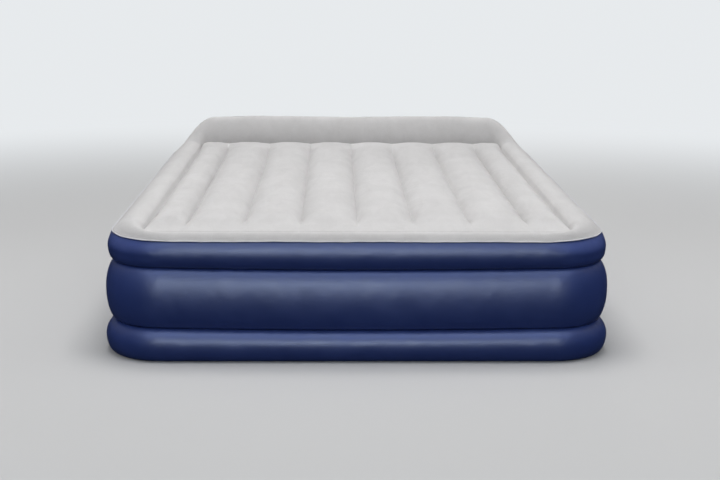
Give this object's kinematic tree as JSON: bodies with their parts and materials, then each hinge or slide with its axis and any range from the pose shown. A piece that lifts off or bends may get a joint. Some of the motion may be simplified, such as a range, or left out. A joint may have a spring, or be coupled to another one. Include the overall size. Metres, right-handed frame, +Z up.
{
  "type": "air mattress",
  "caption": "Raised queen-size air mattress: flocked channelled top inside a raised rim with a head bolster, three navy side tiers and a built-in electric pump in the head wall.",
  "frame": {"origin": "on the floor under the middle of the bed", "axes": "+Z up, +Y towards the head end with the bolster, +X across the bed to the right when seen from the foot end"},
  "size_m": [1.52, 2.03, 0.499],
  "materials": {
    "flocked_top": "matte",
    "navy_vinyl": "satin",
    "inner_vinyl": "satin",
    "charcoal_plastic": "matte",
    "grey_plastic": "matte",
    "red_plastic": "gloss",
    "black_rubber": "matte",
    "seal_rubber": "matte",
    "steel": "satin",
    "brass": "satin",
    "copper_winding": "satin",
    "foam": "matte"
  },
  "bodies": {
    "mattress": {"perimeter_rim": "flocked_top", "top_sheet": "flocked_top", "upper_side_band": "navy_vinyl", "middle_side_band": "navy_vinyl", "lower_side_band": "navy_vinyl", "bottom_sheet": "navy_vinyl", "pump_collar": "navy_vinyl", "upper_waist_sheet": "inner_vinyl", "lower_waist_sheet": "inner_vinyl", "channel_beam_1": "inner_vinyl", "channel_beam_2": "inner_vinyl", "channel_beam_3": "inner_vinyl", "channel_beam_4": "inner_vinyl", "channel_beam_5": "inner_vinyl", "channel_beam_6": "inner_vinyl", "channel_beam_7": "inner_vinyl", "middle_web_1": "inner_vinyl", "middle_web_2": "inner_vinyl", "middle_web_3": "inner_vinyl", "middle_web_4": "inner_vinyl", "base_web_1": "inner_vinyl", "base_web_2": "inner_vinyl", "base_web_3": "inner_vinyl", "base_web_4": "inner_vinyl", "pump_faceplate": "charcoal_plastic", "pump_housing": "grey_plastic", "diverter_sleeve": "grey_plastic", "cord_tray": "grey_plastic", "motor_end_cap": "grey_plastic", "fan_casing": "grey_plastic", "valve_guide": "grey_plastic", "faceplate_gasket": "black_rubber", "switch_body": "charcoal_plastic", "power_cord": "black_rubber", "cord_grommet": "black_rubber", "power_plug": "charcoal_plastic", "motor_mount": "black_rubber", "motor_lead": "black_rubber", "faceplate_screw_1": "steel", "faceplate_screw_2": "steel", "faceplate_screw_3": "steel", "faceplate_screw_4": "steel", "door_hinge_pin": "steel", "motor_can": "steel", "valve_spring": "steel", "plug_blade_1": "brass", "plug_blade_2": "brass", "intake_filter": "foam"},
    "selector": {"selector_knob": "charcoal_plastic", "selector_spindle": "grey_plastic", "diverter_drum": "grey_plastic"},
    "rocker": {"rocker_switch": "red_plastic"},
    "cord_door": {"cord_door": "charcoal_plastic"},
    "fan": {"motor_shaft": "steel", "motor_armature": "copper_winding", "fan_impeller": "grey_plastic", "impeller_nut": "steel"},
    "air_valve": {"valve_disc": "grey_plastic", "valve_seal": "seal_rubber", "valve_retainer": "brass"}
  },
  "joints": [
    {"name": "selector_turn", "type": "hinge", "parent": "mattress", "child": "selector", "pos_m": [-0.288, 0.999, 0.2045], "axis": [0, 1, 0], "range_deg": [-90, 90]},
    {"name": "switch_rock", "type": "hinge", "parent": "mattress", "child": "rocker", "pos_m": [-0.288, 0.996, 0.1525], "axis": [0, 0, 1], "range_deg": [0, 16]},
    {"name": "door_open", "type": "hinge", "parent": "mattress", "child": "cord_door", "pos_m": [-0.374, 0.9964, 0.1719], "axis": [-1, 0, 0], "range_deg": [0, 100]},
    {"name": "fan_spin", "type": "hinge", "parent": "mattress", "child": "fan", "pos_m": [-0.37, 0.889, 0.1905], "axis": [0, 1, 0], "continuous": true},
    {"name": "valve_lift", "type": "slide", "parent": "mattress", "child": "air_valve", "axis": [0, -1, 0], "range_m": [0, 0.008], "stiffness_N_per_m": 120, "springref_m": -0.002, "deforming": ["valve_spring"]}
  ]
}
